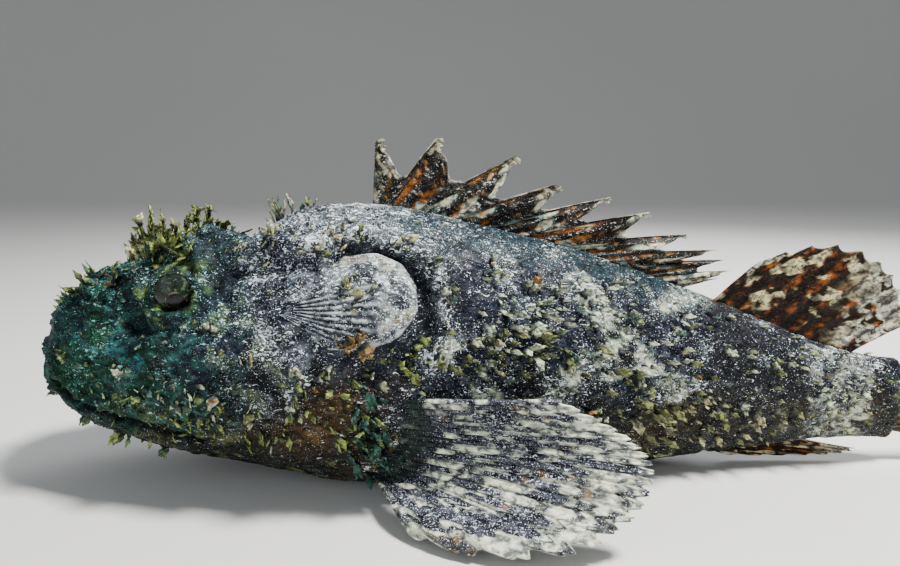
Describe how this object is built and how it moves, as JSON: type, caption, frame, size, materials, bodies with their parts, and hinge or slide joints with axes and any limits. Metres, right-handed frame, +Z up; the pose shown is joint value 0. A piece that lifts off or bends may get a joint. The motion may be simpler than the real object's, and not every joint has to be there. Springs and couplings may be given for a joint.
{
  "type": "spotted scorpionfish",
  "caption": "Bottom-living reef fish resting on its belly, with a ridged and tasselled head, an incised spiny back fin and large fan-shaped breast fins spread over the floor.",
  "frame": {"origin": "on the floor, at the middle of the flat on the belly that the fish rests on", "axes": "+X from the snout to the tail, +Z up, and the fish's left side faces -Y"},
  "size_m": [0.3402, 0.115, 0.1035],
  "materials": {
    "skin_head": "wet mottled skin, navy-black flecked with cream",
    "skin_jaw": "wet mottled skin, brown and olive",
    "skin_torso": "wet mottled skin, navy-black with pale wisps and blotches",
    "skin_stalk": "wet mottled skin, pale band before the tail",
    "eye": "glossy, olive-brown iris",
    "tassel": "soft olive and teal skin",
    "gill_cover": "ribbed bone under skin, dark with pale ridges",
    "dorsal_fin": "orange-brown membrane with pale blotches",
    "soft_fin": "brown membrane with rust rays and cream spots",
    "breast_fin": "grey-lavender rays, banded and spotted with cream",
    "belly_fin": "grey rays spotted with cream"
  },
  "bodies": {
    "root": {"head": "skin_head", "lower_jaw": "skin_jaw", "torso": "skin_torso", "tail_stalk": "skin_stalk", "eye_left": "eye", "eye_right": "eye", "tentacle_left": "tassel", "tentacle_right": "tassel", "gill_cover_left": "gill_cover", "gill_cover_right": "gill_cover", "dorsal_fin_spiny": "dorsal_fin", "dorsal_fin_soft": "soft_fin", "tail_fin": "soft_fin", "anal_fin": "soft_fin", "breast_fin_left": "breast_fin", "breast_fin_right": "breast_fin", "belly_fin_left": "belly_fin", "belly_fin_right": "belly_fin"}
  },
  "joints": []
}
